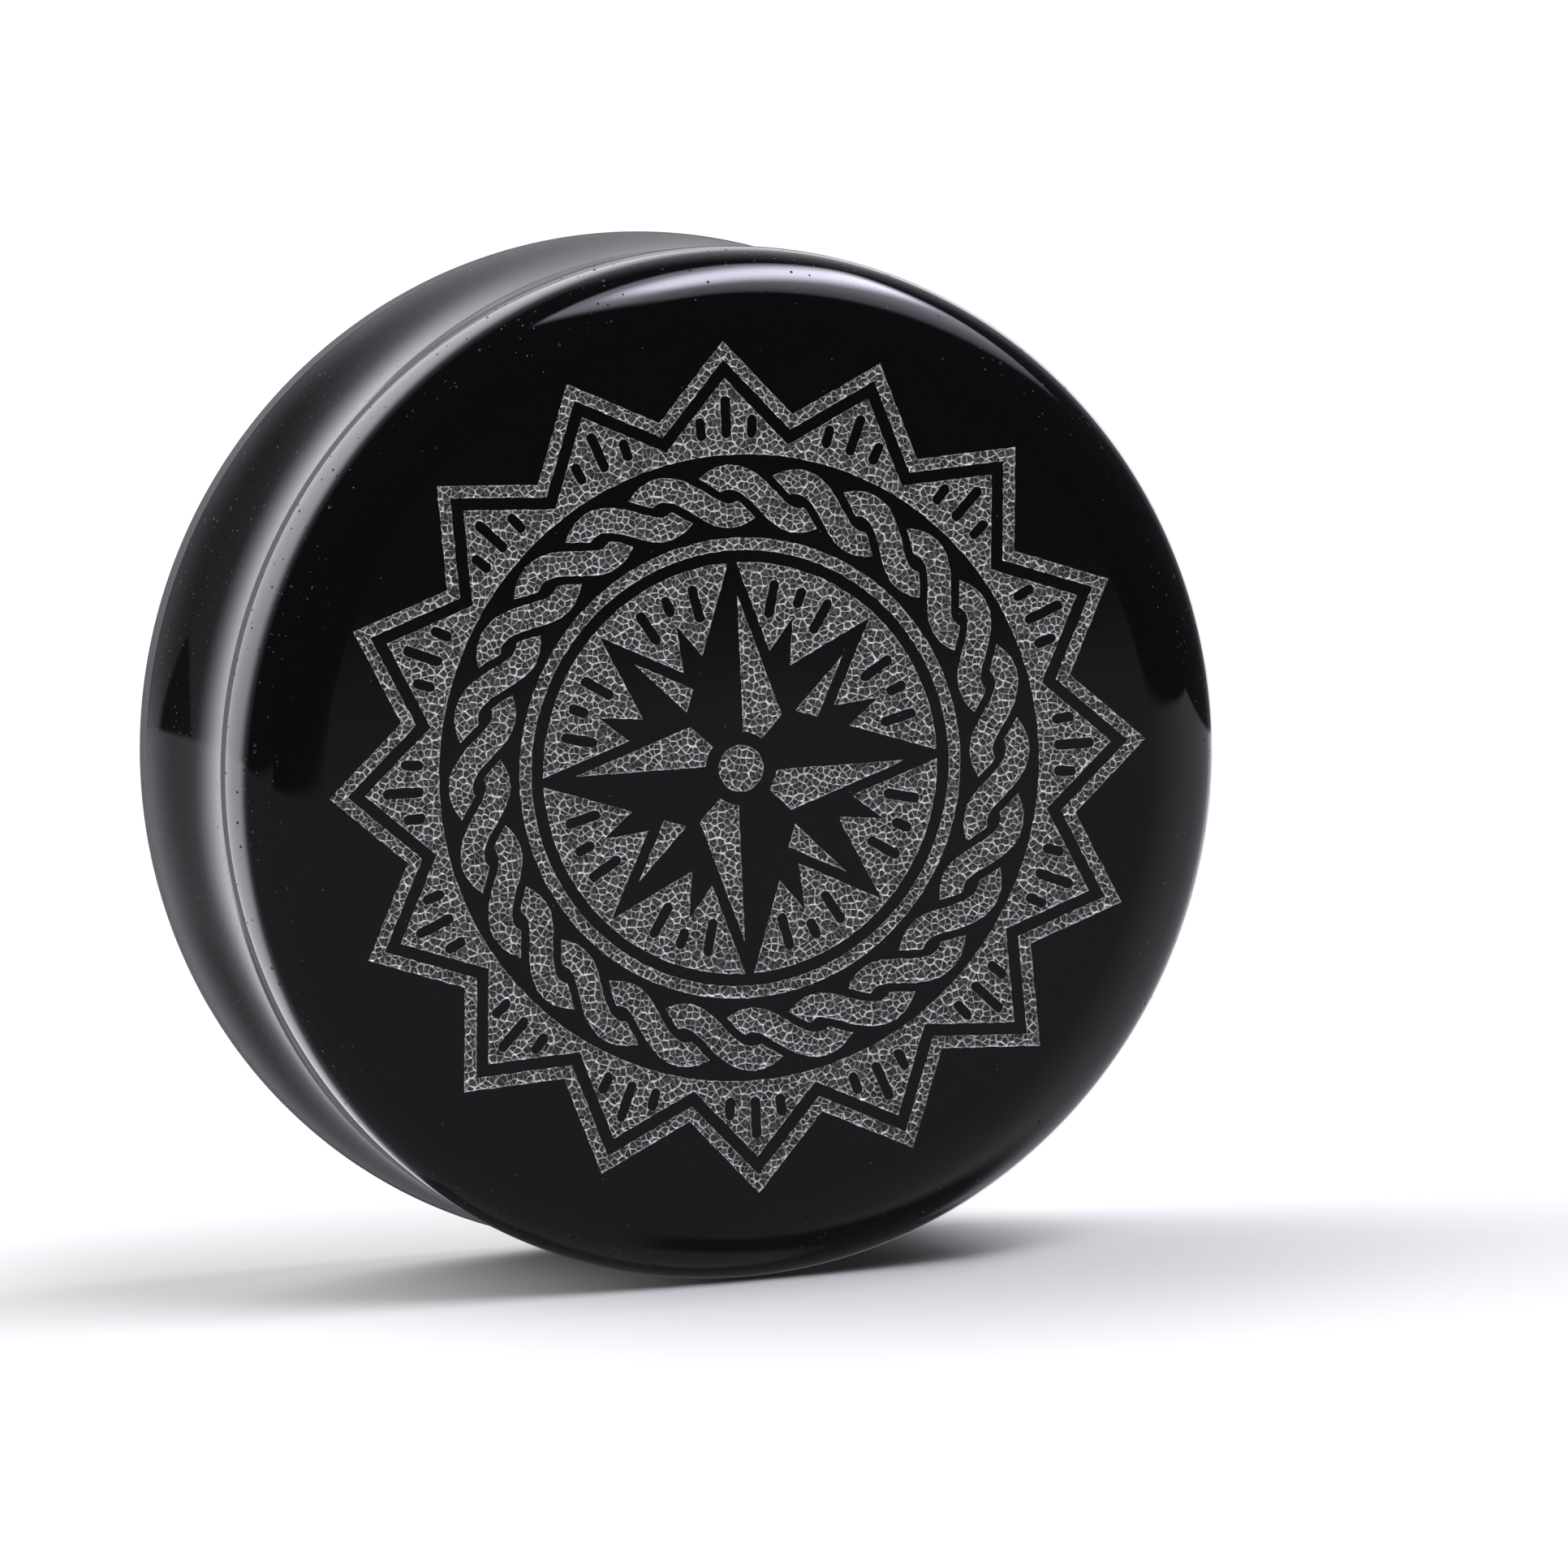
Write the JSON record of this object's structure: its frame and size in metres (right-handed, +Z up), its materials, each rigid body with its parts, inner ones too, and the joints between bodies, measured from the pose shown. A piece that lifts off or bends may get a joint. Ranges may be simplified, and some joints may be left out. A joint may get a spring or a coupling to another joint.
{
  "type": "double flare ear plug",
  "caption": "Solid polished black stone ear plug with a shallow saddle between flared rims, and a frosted sun, plait and star medallion engraved on its front face.",
  "frame": {"origin": "on the surface that the plug stands on, straight below the middle of its axis", "axes": "+Y along the plug's axis, from the engraved front face to the plain back face; +Z up; +X to the right seen from the front"},
  "size_m": [0.0422, 0.0176, 0.0422],
  "materials": {
    "polished_stone": "gloss",
    "frosted_stone": "matte"
  },
  "bodies": {
    "root": {"plug": "polished_stone"}
  },
  "joints": []
}
